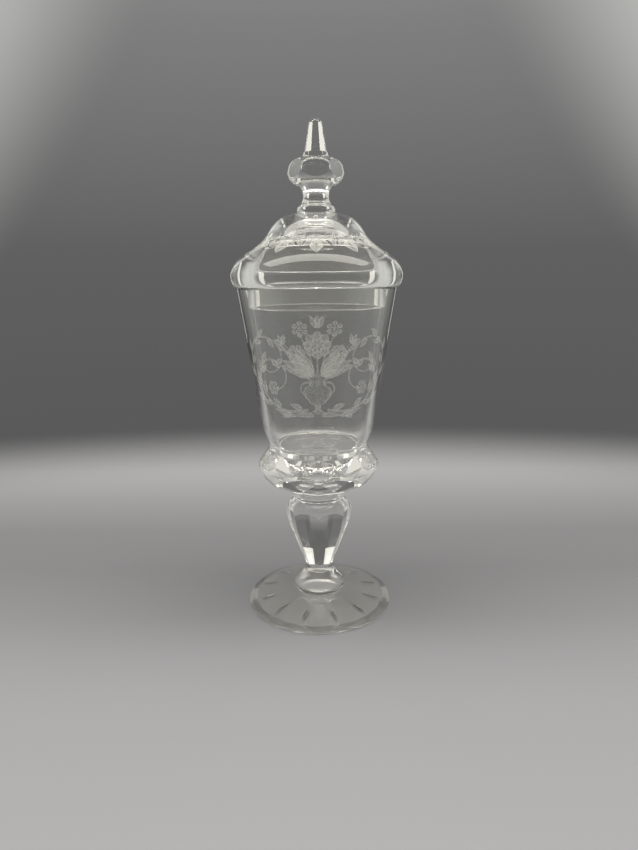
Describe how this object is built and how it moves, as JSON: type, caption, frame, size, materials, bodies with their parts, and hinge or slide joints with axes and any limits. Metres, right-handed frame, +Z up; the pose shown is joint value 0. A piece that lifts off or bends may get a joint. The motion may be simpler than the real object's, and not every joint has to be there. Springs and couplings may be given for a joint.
{
  "type": "covered goblet",
  "caption": "Tall covered goblet of clear cut glass: faceted stem and calyx, tapering cup with a matte engraved bouquet, and a domed lid with a faceted finial that lifts off.",
  "frame": {"origin": "centre of the foot's base, on the surface that the goblet stands on", "axes": "+Z up along the goblet's axis, -Y towards the front, where the stem shows an edge"},
  "size_m": [0.104, 0.104, 0.3],
  "materials": {
    "clear_glass": "polished"
  },
  "bodies": {
    "goblet": {"foot": "clear_glass", "foot_knop": "clear_glass", "stem": "clear_glass", "stem_collar": "clear_glass", "calyx": "clear_glass", "bowl": "clear_glass"},
    "lid": {"lid": "clear_glass", "lid_flange": "clear_glass", "lid_collar": "clear_glass", "finial_knop": "clear_glass", "finial_spire": "clear_glass"}
  },
  "joints": [
    {"name": "lid_lift", "type": "slide", "parent": "goblet", "child": "lid", "axis": [0, 0, 1], "range_m": [0, 0.12]}
  ]
}
